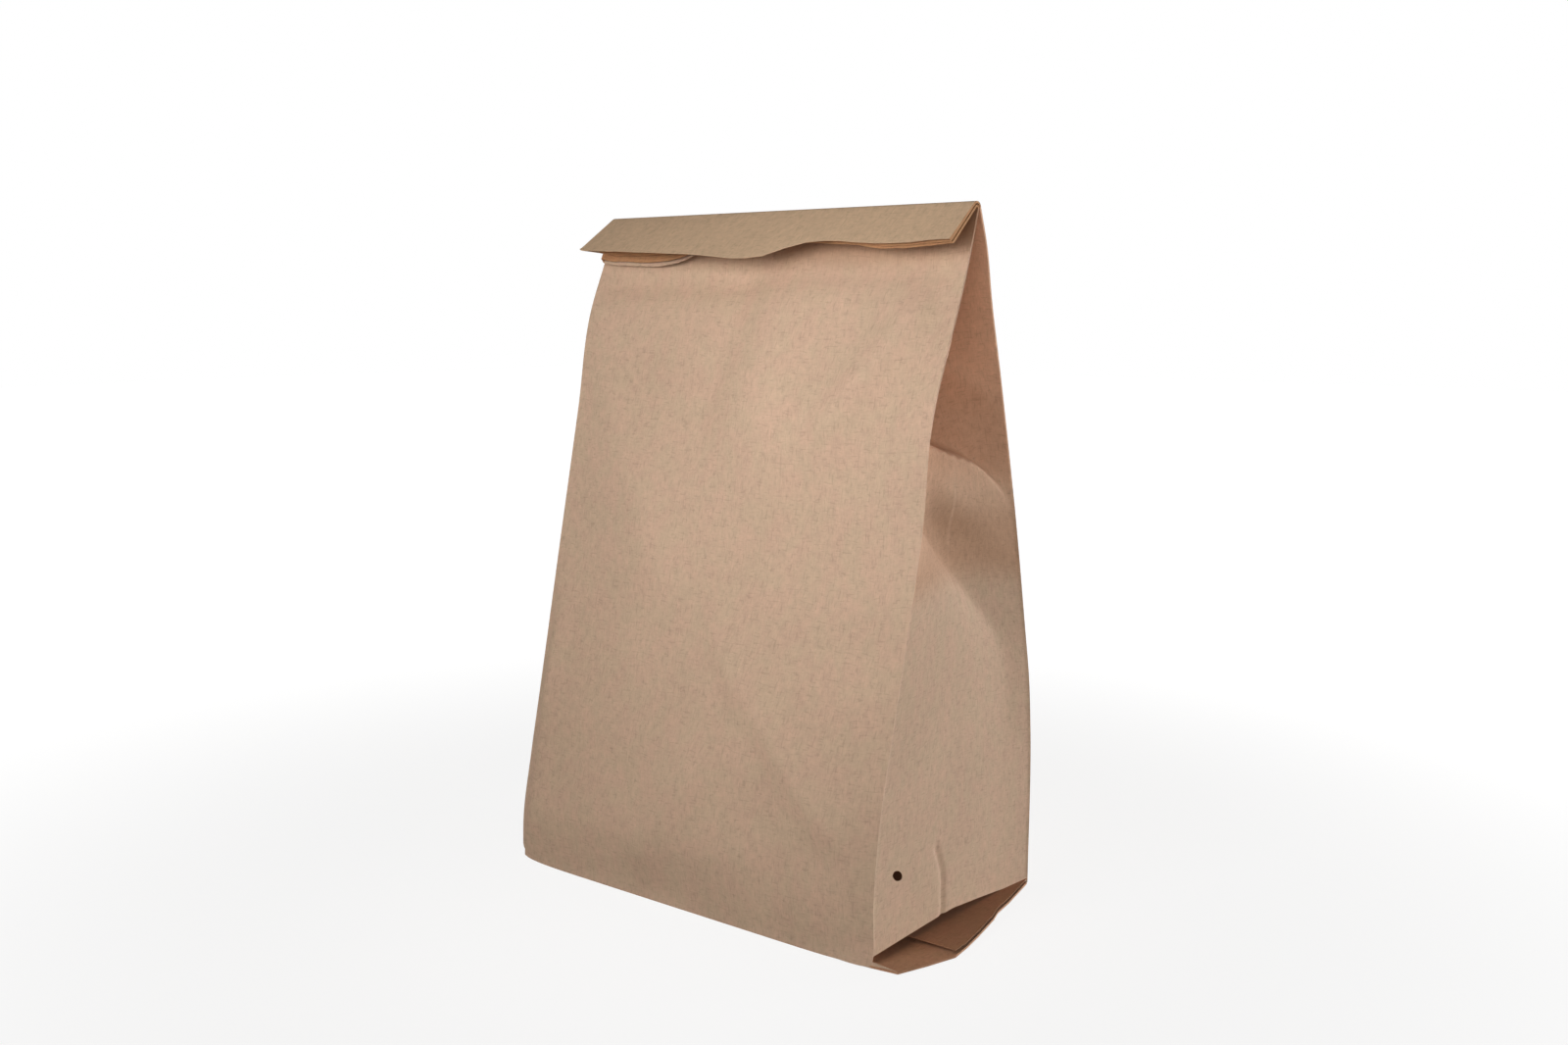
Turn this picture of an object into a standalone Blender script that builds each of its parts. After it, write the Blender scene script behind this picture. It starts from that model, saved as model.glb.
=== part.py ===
"""A standing brown paper lunch bag: one folded and glued sheet of kraft paper, its mouth folded forward once.

Metres, +Z up. The origin is the middle of the base, the front panel faces -Y and the open base fold is at +X.
"""

import math

import bmesh
import bpy
import numpy as np

# Paper
PAPER = 0.00025
PLY_PITCH = 0.00045

# Tube: two panels this wide, joined by gussets of two halves each
WIDTH = 0.130
GUSSET_HALF = 0.038
HALF_WIDTH = WIDTH / 2

# Standing edges of the tube, seen from the side, as (share of FOLD_Z, share of GUSSET_HALF towards the back)
FRONT_RIGHT_EDGE = (
    (0.000, -1.013),
    (0.080, -1.026),
    (0.187, -0.968),
    (0.346, -0.784),
    (0.576, -0.513),
    (0.730, -0.408),
    (0.789, -0.311),
    (0.906, -0.076),
)
FRONT_LEFT_EDGE = (
    (0.000, -1.029),
    (0.064, -1.016),
    (0.160, -0.926),
    (0.267, -0.813),
    (0.474, -0.597),
    (0.709, -0.350),
    (0.864, -0.192),
    (0.933, -0.047),
)
BACK_EDGE = (
    (0.000, 0.934),
    (0.245, 0.929),
    (0.320, 0.895),
    (0.400, 0.829),
    (0.581, 0.658),
    (0.768, 0.442),
    (0.874, 0.308),
    (0.954, 0.221),
)

# Fold of the mouth: the plies turn about one line, the front ply inside and the back ply outside
FOLD_Y = 0.00335
FOLD_Z = 0.1876
FOLD_RADIUS = 0.0005
FRONT_START = math.radians(-24)
BACK_START = math.radians(9)

# Flap in front of the fold: how steeply each ply falls, and its length, by share of HALF_WIDTH to the right
BACK_PLY_FALL = (
    (-1.00, math.radians(35.8)),
    (1.00, math.radians(41.3)),
)
FRONT_PLY_FALL = (
    (-1.00, math.radians(62)),
    (-0.51, math.radians(61)),
    (-0.28, math.radians(47)),
    (1.00, math.radians(45)),
)
FRONT_PLY_LENGTH = 0.0129
MOUTH_EDGE = (
    (-1.00, 0.0168),
    (-0.37, 0.0194),
    (-0.05, 0.0218),
    (0.12, 0.0210),
    (0.28, 0.0156),
    (0.385, 0.0142),
    (0.69, 0.0159),
    (1.00, 0.0145),
)

# Soft swell of the large panels
FRONT_SWELL = 0.0020
BACK_SWELL = 0.0025
BASE_BOW = 0.0036
BASE_BOW_REACH = 0.045
BASE_BOW_POWER = 10

# Right gusset: crumpled lines across it by place (0 front edge, 1 back edge), as shares of FOLD_Z
BULGE_LINE = 0.580
VALLEY_LINE = (
    (0.00, 0.712),
    (0.50, 0.690),
    (0.80, 0.662),
    (0.89, 0.643),
    (1.00, 0.612),
)

# Its form at the foot, the top of the lower panel, either side of the bulge and either side of the valley:
# how deep it stands at its deepest, and how steeply it falls in from the back edge and from the front edge
SIDE_DEPTH = (0.0012, 0.0085, 0.0062, 0.0068, 0.0100)
SIDE_FALL = (0.16, 0.32, 0.17, 0.22, 0.60)
FRONT_FALL = (0.04, 0.80, 0.80, 0.80, 0.90)
SIDE_DEPTH_POWER = 2.2
FRONT_FALL_POWER = 6
SIDE_DEPTH_START = 0.18
CREASE_ROUNDING = 0.0006
BULGE_HALF = 0.0040
VALLEY_HALF = 0.0018
VEE_START = 0.45
VEE_REACH = 0.022

# Left gusset: below this height it stands nearly flat, above it it folds inwards
LEFT_CREASE = 0.43
LEFT_CREASE_REACH = 0.042
LEFT_DENT = 0.0020

# Foot of the tube
FLOOR_PLY = 0.0006
SIDE_FOLD_CORNER = 0.0026
SIDE_FOLD_MIDDLE = 0.0038
SIDE_FOLD_BACK = 0.0009
SIDE_FOLD_RUN = 0.020
FOOT_BLEND = 0.020
LEFT_ROUNDING = 0.0028
LEFT_ROUNDING_HEIGHT = 0.0035

# Base: two glued flaps, the front one below the rear one, both open at the right end. Their outline there is
# given from the front corner round to the back one, as (run past the gusset's side, share of GUSSET_HALF)
FRONT_FLAP_TOP = 0.0006
REAR_FLAP_TOP = 0.0011
FLAP_SINK = 0.0002
REAR_FLAP_CUT = -0.54
BASE_INSET = 0.00005
RIGHT_END = (
    (0.0075, -1.021),
    (0.0104, -0.795),
    (0.0129, -0.558),
    (0.0118, -0.368),
    (0.0100, -0.145),
    (0.0072, 0.158),
    (0.0054, 0.295),
    (0.0040, 0.500),
    (0.0002, 0.913),
)
CORNER_FOLD_RUN = 0.009
CORNER_FOOT = -1.058

# Punched hole in the right gusset: its height, its distance behind the front edge, and its size
HOLE_Z = 0.0204
HOLE_BEHIND_EDGE = 0.0106
HOLE_WIDE = 0.0048
HOLE_TALL = 0.0026
HOLE_SIDES = 24
HOLE_REACH = 0.010

# Mesh, with the wall's rows as shares of FOLD_Z
PANEL_COLUMNS = 15
GUSSET_COLUMNS = 9
BEND_STEPS = 5
FLAP_STEPS = 3
WALL_ROWS = (
    0.000, 0.013, 0.032, 0.064, 0.107, 0.160, 0.213, 0.256, 0.309, 0.362, 0.426, 0.480, 0.520,
    0.558, 0.580, 0.602, 0.625, 0.645, 0.662, 0.680, 0.700, 0.730, 0.760, 0.800, 0.842, 0.885,
    0.927, 0.965,
)

# Kraft paper
KRAFT = (0.552, 0.402, 0.301, 1.0)
KRAFT_ROUGHNESS = 0.92


def clear_scene():
    for obj in list(bpy.data.objects):
        bpy.data.objects.remove(obj, do_unlink=True)


def new_collection(name):
    made = bpy.data.collections.new(name)
    bpy.context.scene.collection.children.link(made)
    return made


def curve(points, at):
    """A smooth curve through (position, value) points, read at a position."""
    places = np.array([p[0] for p in points])
    values = np.array([p[1] for p in points])
    if len(points) > 2:
        slopes = np.gradient(values, places)
    else:
        slopes = np.full(2, np.diff(values)[0] / np.diff(places)[0])
    at = min(max(at, places[0]), places[-1])
    i = min(int(np.searchsorted(places, at, side="right")) - 1, len(places) - 2)
    run = places[i + 1] - places[i]
    t = (at - places[i]) / run
    rise = (2 * t**3 - 3 * t**2 + 1) * values[i] + (3 * t**2 - 2 * t**3) * values[i + 1]
    return float(rise + run * ((t**3 - 2 * t**2 + t) * slopes[i] + (t**3 - t**2) * slopes[i + 1]))


def mix(a, b, t):
    return a + (b - a) * t


def fold_start(ply):
    """Where a ply enters the fold, as (y, z): ply 0 is the front panel and 1 the back panel."""
    radius = FOLD_RADIUS + 3 * PLY_PITCH * ply
    angle = mix(FRONT_START, BACK_START, ply)
    return FOLD_Y + radius * math.cos(angle), FOLD_Z + radius * math.sin(angle)


def standing_edge(edge, ply):
    """An edge of the tube as (height, y) points, up to where its ply enters the fold."""
    y, z = fold_start(ply)
    return [(up * FOLD_Z, back * GUSSET_HALF) for up, back in edge] + [(z, y)]


def right_end():
    """The open end of the base flaps, as (x, y) points."""
    return [(HALF_WIDTH + past, back * GUSSET_HALF) for past, back in RIGHT_END]


def front_y(x, z):
    """The front panel's y: its two edges, swollen a little between them and bowed at the foot."""
    share = (x + HALF_WIDTH) / WIDTH
    left = curve(standing_edge(FRONT_LEFT_EDGE, 0), z)
    right = curve(standing_edge(FRONT_RIGHT_EDGE, 0), z)
    across = x / HALF_WIDTH
    swell = FRONT_SWELL * (1 - across**2) * math.sin(math.pi * min(z / FOLD_Z, 1))
    bow = BASE_BOW * (1 - across**BASE_BOW_POWER) * math.exp(-z / BASE_BOW_REACH)
    fade = min((FOLD_Z - z) / FOLD_Z * 8, 1)
    return mix(left, right, share) - (swell + bow) * max(fade, 0)


def back_y(x, z):
    across = x / HALF_WIDTH
    swell = BACK_SWELL * (1 - across**2) * math.sin(math.pi * min(z / FOLD_Z, 1))
    return curve(standing_edge(BACK_EDGE, 1), z) + swell


def smooth(t):
    t = min(max(t, 0), 1)
    return t * t * (3 - 2 * t)


def soft_least(a, b):
    """The lesser of two depths, with a rounded change from one to the other."""
    return (a + b - math.hypot(a - b, CREASE_ROUNDING)) / 2 + CREASE_ROUNDING / 4


def vee_depth(front, back):
    """How far in a gusset's middle stands where its halves are two flat sheets."""
    half_gap = min((back - front) / 2, GUSSET_HALF)
    return math.sqrt(GUSSET_HALF**2 - half_gap**2)


def left_inset(front, back, share, z):
    full = vee_depth(front, back)
    turn = min(max((z - LEFT_CREASE * FOLD_Z) / LEFT_CREASE_REACH, 0), 1)
    depth = mix(min(LEFT_DENT, full), full, math.sin(turn * math.pi / 2))
    return depth * (1 - abs(2 * share - 1))


def right_inset(front, back, share, z):
    """Share is 0 at the front edge and 1 at the back: a lower panel leaning in, a bulge, a valley, then the fold."""
    bulge = BULGE_LINE * FOLD_Z
    valley = curve(VALLEY_LINE, share) * FOLD_Z
    start = SIDE_DEPTH_START * FOLD_Z
    lower = min(max((z - start) / (bulge - BULGE_HALF - start), 0), 1)
    turns = [
        smooth((z - bulge + BULGE_HALF) / (2 * BULGE_HALF)),
        smooth((z - bulge) / (valley - bulge)),
        smooth((z - valley + VALLEY_HALF) / (2 * VALLEY_HALF)),
    ]
    depth = mix(SIDE_DEPTH[0], SIDE_DEPTH[1], lower**SIDE_DEPTH_POWER)
    rear = mix(SIDE_FALL[0], SIDE_FALL[1], lower)
    fore = mix(FRONT_FALL[0], FRONT_FALL[1], lower**FRONT_FALL_POWER)
    for k, turn in enumerate(turns):
        depth = mix(depth, SIDE_DEPTH[k + 2], turn)
        rear = mix(rear, SIDE_FALL[k + 2], turn)
        fore = mix(fore, FRONT_FALL[k + 2], turn)
    gap = back - front
    walls = soft_least(rear * (1 - share) * gap, fore * share * gap)
    shallow = max(soft_least(depth, walls), 0)
    vee = vee_depth(front, back) * (1 - abs(2 * share - 1))
    closing = mix(VEE_START, 1, smooth((z - valley - VALLEY_HALF) / VEE_REACH)) * turns[2]
    return mix(shallow, vee, closing)


def left_shrink(z):
    """The bag's lower left corner is rounded."""
    return LEFT_ROUNDING * max(1 - z / LEFT_ROUNDING_HEIGHT, 0) ** 2


def foot_height(side, share):
    """Height of the tube's lowest fold: it stands up off the base along the right gusset."""
    if side < 0:
        return FLOOR_PLY
    end = SIDE_FOLD_CORNER if share < 0.5 else SIDE_FOLD_BACK
    return mix(end, SIDE_FOLD_MIDDLE, 1 - abs(2 * share - 1))


def panel_foot(x):
    rise = max((x - HALF_WIDTH + CORNER_FOLD_RUN) / CORNER_FOLD_RUN, 0)
    return mix(FLOOR_PLY, SIDE_FOLD_CORNER, rise)


def lifted(height, foot):
    """A wall row's height over a raised foot: rows are squeezed below FOOT_BLEND."""
    return max(height, foot + height * (1 - foot / FOOT_BLEND))


def gusset_places():
    """Columns of one gusset from its front edge to its back edge, as (half, t): t runs from the edge to the middle."""
    steps = [k / (GUSSET_COLUMNS - 1) for k in range(GUSSET_COLUMNS)]
    return [(0, t) for t in steps] + [(1, t) for t in reversed(steps)]


def columns():
    """The tube's columns in order round it: kind, x or side, half and place."""
    xs = [mix(-HALF_WIDTH, HALF_WIDTH, k / (PANEL_COLUMNS - 1)) for k in range(PANEL_COLUMNS)]
    front = [("front", x, 0, 0) for x in xs]
    right = [("gusset", 1, half, t) for half, t in gusset_places()]
    back = [("back", x, 0, 0) for x in reversed(xs)]
    left = [("gusset", -1, half, t) for half, t in reversed(gusset_places())]
    return front + right + back + left


def ply_of(column):
    kind, _, half, _ = column
    if kind == "gusset":
        return (1 + half) / 3
    return 0 if kind == "front" else 1


def wall_point(column, height):
    """A point of the tube below the fold."""
    kind, where, half, t = column
    top = fold_start(ply_of(column))[1]
    height = top if height is None else height
    if kind != "gusset":
        z = lifted(height, panel_foot(where))
        x = where + (left_shrink(z) if where < -HALF_WIDTH + 1e-6 else 0)
        return x, front_y(where, z) if kind == "front" else back_y(where, z), z
    share = t / 2 if half == 0 else 1 - t / 2
    z = lifted(height, foot_height(where, share))
    edge = where * HALF_WIDTH
    front = front_y(edge, z) + PLY_PITCH
    back = back_y(edge, z) - PLY_PITCH
    middle = (front + back) / 2
    y = mix(front, middle - PLY_PITCH / 2, t) if half == 0 else mix(back, middle + PLY_PITCH / 2, t)
    inset = (right_inset if where > 0 else left_inset)(front, back, share, z)
    x = where * (HALF_WIDTH - inset)
    return x + (left_shrink(z) if where < 0 else 0), y, z


def flap_point(column, step):
    """A point past the fold: first round the bend, then down the flap."""
    kind, where, _, t = column
    ply = ply_of(column)
    radius = FOLD_RADIUS + 3 * PLY_PITCH * ply
    x = where * (HALF_WIDTH - GUSSET_HALF * t) if kind == "gusset" else where
    across = x / HALF_WIDTH
    fall = mix(curve(FRONT_PLY_FALL, across), curve(BACK_PLY_FALL, across), ply)
    start, end = mix(FRONT_START, BACK_START, ply), math.pi / 2 + fall
    if step <= BEND_STEPS:
        angle, run = mix(start, end, step / BEND_STEPS), 0
    else:
        length = mix(FRONT_PLY_LENGTH, curve(MOUTH_EDGE, across), ply)
        angle, run = end, length * (step - BEND_STEPS) / FLAP_STEPS
    y = FOLD_Y + radius * math.cos(angle) - run * math.cos(fall)
    z = FOLD_Z + radius * math.sin(angle) - run * math.sin(fall)
    return x, y, z


def add_floor(mesh, loop):
    """The bag's own floor, drawn between the four stretches of the tube's lowest loop."""
    side = 2 * GUSSET_COLUMNS
    front = loop[:PANEL_COLUMNS]
    right = loop[PANEL_COLUMNS : PANEL_COLUMNS + side]
    back = list(reversed(loop[PANEL_COLUMNS + side : 2 * PANEL_COLUMNS + side]))
    left = list(reversed(loop[2 * PANEL_COLUMNS + side :]))
    rows = [front]
    for k in range(side):
        row = [left[k]]
        share = k / (side - 1)
        for j in range(1, PANEL_COLUMNS - 1):
            x = front[j].co.x
            y = mix(left[k].co.y, right[k].co.y, (x + HALF_WIDTH) / WIDTH)
            rise = max((x - HALF_WIDTH + SIDE_FOLD_RUN) / SIDE_FOLD_RUN, 0)
            ends = min(share, 1 - share) * 4
            z = mix(FLOOR_PLY, right[k].co.z, rise * min(ends, 1))
            row.append(mesh.verts.new((x, y, z)))
        rows.append(row + [right[k]])
    rows.append(back)
    for near, far in zip(rows, rows[1:]):
        for j in range(PANEL_COLUMNS - 1):
            mesh.faces.new((near[j], far[j], far[j + 1], near[j + 1]))


def paper_surface():
    """The middle surface of the folded sheet: floor, tube, fold and flap, open only at the mouth."""
    mesh = bmesh.new()
    around = columns()
    heights = [share * FOLD_Z for share in WALL_ROWS] + [None]
    rows = [[mesh.verts.new(wall_point(c, h)) for c in around] for h in heights]
    for step in range(1, BEND_STEPS + FLAP_STEPS + 1):
        rows.append([mesh.verts.new(flap_point(c, step)) for c in around])
    for low, high in zip(rows, rows[1:]):
        for j in range(len(around)):
            k = (j + 1) % len(around)
            mesh.faces.new((low[j], low[k], high[k], high[j]))
    add_floor(mesh, rows[0])
    return mesh


def mesh_object(name, mesh, collection):
    data = bpy.data.meshes.new(name)
    mesh.to_mesh(data)
    mesh.free()
    made = bpy.data.objects.new(name, data)
    collection.objects.link(made)
    return made


def helper(name, mesh, collection):
    made = mesh_object(name, mesh, collection)
    made.hide_render = True
    made.display_type = "WIRE"
    return made


def slab(outline, bottom, top):
    """A flat piece of the base with the given outline, counter-clockwise from above."""
    mesh = bmesh.new()
    face = mesh.faces.new([mesh.verts.new((x, y, bottom)) for x, y in outline])
    raised = bmesh.ops.extrude_face_region(mesh, geom=[face])["geom"]
    moved = [v for v in raised if isinstance(v, bmesh.types.BMVert)]
    bmesh.ops.translate(mesh, verts=moved, vec=(0, 0, top - bottom))
    bmesh.ops.recalc_face_normals(mesh, faces=mesh.faces)
    return mesh


def base_front():
    """The base's front edge under the front panel, from left to right."""
    low, high = -HALF_WIDTH + LEFT_ROUNDING, HALF_WIDTH - CORNER_FOLD_RUN
    xs = [mix(low, high, k / PANEL_COLUMNS) for k in range(PANEL_COLUMNS + 1)]
    return [(x, front_y(x, 0) + BASE_INSET) for x in xs] + [(HALF_WIDTH, CORNER_FOOT * GUSSET_HALF)]


def base_back(cut):
    """The base's left end and rear edge, from the rear right corner round to the left end at y = cut."""
    rear = [(mix(HALF_WIDTH, -HALF_WIDTH + LEFT_ROUNDING, k / 6)) for k in range(7)]
    return [(x, back_y(x, 0) - BASE_INSET) for x in rear] + [(-HALF_WIDTH + LEFT_ROUNDING, cut)]


def front_flap():
    outline = base_front() + right_end() + base_back(0)
    return slab(outline, 0, FRONT_FLAP_TOP)


def rear_flap():
    cut = REAR_FLAP_CUT * GUSSET_HALF
    behind = [point for point in right_end() if point[1] > cut]
    outline = [(-HALF_WIDTH + LEFT_ROUNDING, cut), (behind[0][0], cut)] + behind
    return slab(outline + base_back(0), FRONT_FLAP_TOP - FLAP_SINK, REAR_FLAP_TOP)


def corner_fold():
    """The small fold that joins the front panel's lower right corner to the open base."""
    mesh = bmesh.new()
    inner = HALF_WIDTH - CORNER_FOLD_RUN
    tip_x, tip_y = right_end()[0]
    foot_y = CORNER_FOOT * GUSSET_HALF
    front = front_y(HALF_WIDTH, SIDE_FOLD_CORNER)
    points = (
        (inner, front_y(inner, 0) + BASE_INSET, FLAP_SINK),
        (inner, front_y(inner, 0) + 2 * PAPER, FLAP_SINK),
        (HALF_WIDTH, foot_y + BASE_INSET, FLAP_SINK),
        (tip_x - PAPER, tip_y + PAPER, FLAP_SINK),
        (tip_x - PAPER, tip_y + PAPER, FRONT_FLAP_TOP + FLAP_SINK),
        (HALF_WIDTH, front + 3 * PAPER, FLAP_SINK),
        (HALF_WIDTH, front - PAPER / 3, SIDE_FOLD_CORNER),
        (HALF_WIDTH, front + 2 * PAPER, SIDE_FOLD_CORNER),
    )
    for point in points:
        mesh.verts.new(point)
    bmesh.ops.convex_hull(mesh, input=mesh.verts)
    bmesh.ops.recalc_face_normals(mesh, faces=mesh.faces)
    return mesh


def hole_cutter():
    mesh = bmesh.new()
    ring = []
    middle = front_y(HALF_WIDTH, HOLE_Z) + HOLE_BEHIND_EDGE
    for k in range(HOLE_SIDES):
        angle = 2 * math.pi * k / HOLE_SIDES
        y = middle + HOLE_WIDE / 2 * math.cos(angle)
        z = HOLE_Z + HOLE_TALL / 2 * math.sin(angle)
        ring.append(mesh.verts.new((HALF_WIDTH + HOLE_REACH / 2, y, z)))
    face = mesh.faces.new(ring)
    raised = bmesh.ops.extrude_face_region(mesh, geom=[face])["geom"]
    moved = [v for v in raised if isinstance(v, bmesh.types.BMVert)]
    bmesh.ops.translate(mesh, verts=moved, vec=(-HOLE_REACH, 0, 0))
    bmesh.ops.recalc_face_normals(mesh, faces=mesh.faces)
    return mesh


def add_boolean(obj, operand, operation):
    step = obj.modifiers.new(operand.name, "BOOLEAN")
    step.operation = operation
    step.solver = "EXACT"
    step.object = operand


def kraft_material():
    made = bpy.data.materials.new("kraft_paper")
    made.use_nodes = True
    shader = made.node_tree.nodes["Principled BSDF"]
    shader.inputs["Base Color"].default_value = KRAFT
    shader.inputs["Roughness"].default_value = KRAFT_ROUGHNESS
    shader.inputs["Metallic"].default_value = 0.0
    made.diffuse_color = KRAFT
    return made


def build():
    clear_scene()
    parts = new_collection("paper_lunch_bag")
    helpers = new_collection("folds_and_cutters")
    helpers.hide_render = True
    bag = mesh_object("paper_bag", paper_surface(), parts)
    bag.data.materials.append(kraft_material())
    thicken = bag.modifiers.new("paper", "SOLIDIFY")
    thicken.thickness = PAPER
    thicken.offset = 0
    thicken.use_even_offset = True
    thicken.use_rim = True
    add_boolean(bag, helper("front_base_flap", front_flap(), helpers), "UNION")
    add_boolean(bag, helper("rear_base_flap", rear_flap(), helpers), "UNION")
    add_boolean(bag, helper("corner_fold", corner_fold(), helpers), "UNION")
    add_boolean(bag, helper("punched_hole", hole_cutter(), helpers), "DIFFERENCE")


build()
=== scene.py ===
"""Dresses the brown paper lunch bag: one folded sheet of kraft paper with its creases, dents and plies."""

import math

import bpy
import numpy as np
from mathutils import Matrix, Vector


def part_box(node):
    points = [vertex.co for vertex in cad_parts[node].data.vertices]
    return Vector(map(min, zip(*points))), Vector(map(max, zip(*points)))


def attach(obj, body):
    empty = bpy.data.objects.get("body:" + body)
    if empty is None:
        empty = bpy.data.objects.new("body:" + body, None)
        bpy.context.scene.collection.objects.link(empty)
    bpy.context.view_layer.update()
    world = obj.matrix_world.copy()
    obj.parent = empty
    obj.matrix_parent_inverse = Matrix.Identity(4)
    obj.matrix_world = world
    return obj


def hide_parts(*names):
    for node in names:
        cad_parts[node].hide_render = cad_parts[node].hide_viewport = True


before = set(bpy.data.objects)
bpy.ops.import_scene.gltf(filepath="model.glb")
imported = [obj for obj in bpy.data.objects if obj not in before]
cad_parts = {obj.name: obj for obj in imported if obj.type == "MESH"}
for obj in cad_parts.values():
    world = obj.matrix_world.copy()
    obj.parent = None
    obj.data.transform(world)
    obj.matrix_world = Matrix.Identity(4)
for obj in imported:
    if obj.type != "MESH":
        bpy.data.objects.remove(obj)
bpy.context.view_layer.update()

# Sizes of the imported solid; the visible fold stands a little higher, as in the photo
LOW, HIGH = (np.array(corner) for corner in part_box("paper_bag"))
SOLID_PAPER = 0.00025
HALF_WIDTH = -float(LOW[0]) - SOLID_PAPER / 2
GUSSET_HALF = 0.038
FOLD_RADIUS = 0.0005
PLY_PITCH = 0.00045
LAST_PLY = 3
FOLD_LIFT = 0.0004
FOLD_Z = float(HIGH[2]) - FOLD_RADIUS - LAST_PLY * PLY_PITCH - SOLID_PAPER / 2 + FOLD_LIFT
FOLD_Y = 0.00335

# The visible sheet's thickness
PAPER = 0.00016

# Standing edges of the tube, seen from the side, as (share of FOLD_Z, share of GUSSET_HALF towards the back)
FRONT_RIGHT_EDGE = (
    (0.000, -1.013), (0.080, -1.026), (0.187, -0.968), (0.346, -0.784),
    (0.576, -0.508), (0.728, -0.398), (0.750, -0.364), (0.789, -0.288), (0.906, -0.050),
)
FRONT_LEFT_EDGE = (
    (0.000, -1.029), (0.064, -1.016), (0.160, -0.926), (0.267, -0.813),
    (0.474, -0.597), (0.709, -0.350), (0.864, -0.192), (0.933, -0.047),
)
BACK_EDGE = (
    (0.000, 0.934), (0.245, 0.929), (0.320, 0.895), (0.400, 0.822),
    (0.581, 0.645), (0.768, 0.431), (0.874, 0.298), (0.954, 0.217),
)

# The mouth's fold: the angles at which the front ply and the back ply start to turn
FRONT_START = math.radians(-24)
BACK_START = math.radians(9)

# Flap plies by share of HALF_WIDTH, inner ply first: fall in degrees and length
PLY_FALL = (
    (
        (-1.00, 57), (-0.95, 61), (-0.88, 62), (-0.50, 61),
        (-0.28, 46), (-0.10, 44), (0.20, 43.4), (1.00, 42.6),
    ),
    (
        (-1.00, 53), (-0.95, 57), (-0.88, 58), (-0.50, 57),
        (-0.28, 45), (-0.10, 43.4), (0.20, 43.0), (1.00, 42.2),
    ),
    (
        (-1.00, 47), (-0.95, 51), (-0.88, 52), (-0.50, 51),
        (-0.28, 44), (-0.10, 42.8), (0.20, 42.5), (1.00, 41.8),
    ),
    ((-1.00, 34.0), (1.00, 39.8)),
)
PLY_LENGTH = (
    (
        (-1.00, 0.0142), (-0.48, 0.0140), (-0.28, 0.0122), (0.30, 0.0118),
        (0.54, 0.0132), (0.69, 0.0147), (1.00, 0.0137),
    ),
    (
        (-1.00, 0.0138), (-0.46, 0.0136), (-0.27, 0.0119), (0.30, 0.0119),
        (0.54, 0.0139), (0.69, 0.0155), (1.00, 0.0145),
    ),
    (
        (-1.00, 0.0130), (-0.44, 0.0128), (-0.28, 0.0118), (0.30, 0.0118),
        (0.54, 0.0137), (0.69, 0.0152), (1.00, 0.0143),
    ),
    (
        (-1.00, 0.0168), (-0.69, 0.0181), (-0.37, 0.0194), (-0.27, 0.0198), (-0.15, 0.0209), (-0.04, 0.0218),
        (0.04, 0.0217), (0.115, 0.0211), (0.167, 0.0194), (0.213, 0.0177), (0.293, 0.0153), (0.385, 0.0142),
        (0.54, 0.0151), (0.69, 0.0159), (0.85, 0.0154), (1.00, 0.0145),
    ),
)
# The inner plies' left ends draw in towards their tips
LEFT_DRAW = 0.0030
LEFT_DRAW_POWER = 4
# The mouth's uneven edge: feature size, height and seed; the plies lie apart in the noise and so differ
MOUTH_RAGGED = ((0.0035, 0.00018, 5), (0.0012, 0.00008, 6))
PLY_APART = 0.1

# Form of the large panels
FRONT_SWELL = 0.0020
BACK_SWELL = 0.0025
BASE_BOW = 0.0036
BASE_BOW_REACH = 0.045
BASE_BOW_POWER = 10
FOOT_TUCK = 0.0009
FOOT_TUCK_REACH = 0.0055
CORNER_FLARE = 0.0015
CORNER_FLARE_HEIGHT = 0.0060
# How fast swell and relief fade below the fold, and relief at the side edges and at the foot
TOP_FADE = 8
EDGE_CALM = 9
FOOT_CALM = 0.006

# Paper cockle, broad to fine: squeeze up the sheet, feature size and height
COCKLE = ((0.6, 0.022, 0.00040), (0.8, 0.009, 0.00013), (1.0, 0.0042, 0.00004))
FRONT_SEED = 11
BACK_SEED = 31

# Crumpled lines of the upper right gusset by place across it (0 front, 1 back), as shares of FOLD_Z
BULGE_LINE = ((0.0, 0.612), (0.2, 0.615), (0.4, 0.598), (0.6, 0.567), (0.8, 0.536), (1.0, 0.513))
VALLEY_LINE = ((0.0, 0.706), (0.5, 0.680), (0.80, 0.650), (0.89, 0.630), (1.0, 0.598))
UPPER_LINE = ((0.0, 0.815), (0.5, 0.803), (0.78, 0.782), (0.87, 0.762), (1.0, 0.730))
UPPER_RIDGE = 0.0012
UPPER_RIDGE_REACH = 0.0035
UPPER_RIDGE_END = 0.08

# Right gusset, at the foot, the top of the lower panel, either side of the bulge, either side of the valley:
# how deep it stands at its deepest, and how steeply it falls in from the back edge and from the front edge
SIDE_DEPTH = (0.0012, 0.0085, 0.0062, 0.0068, 0.0100)
SIDE_FALL = (0.08, 0.30, 0.21, 0.26, 0.60)
FRONT_FALL = (0.03, 1.10, 1.20, 1.20, 1.20)
FRONT_FALL_POWER = 10
SIDE_DEPTH_POWER = 2.2
SIDE_DEPTH_START = 0.18
CREASE_ROUNDING = 0.0006
BULGE_HALF = 0.0060
VALLEY_HALF = 0.0036
VEE_START = 0.70
VEE_REACH = 0.015

# The crease at the foot of the right gusset, from start to end, as (distance behind the front edge, height)
FOOT_CREASE = (((0.0278, 0.0235), (0.0322, 0.0150)), ((0.0322, 0.0150), (0.0318, 0.0030)))
FOOT_CREASE_HALF = 0.0009
FOOT_CREASE_DEPTH = 0.0006

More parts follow.
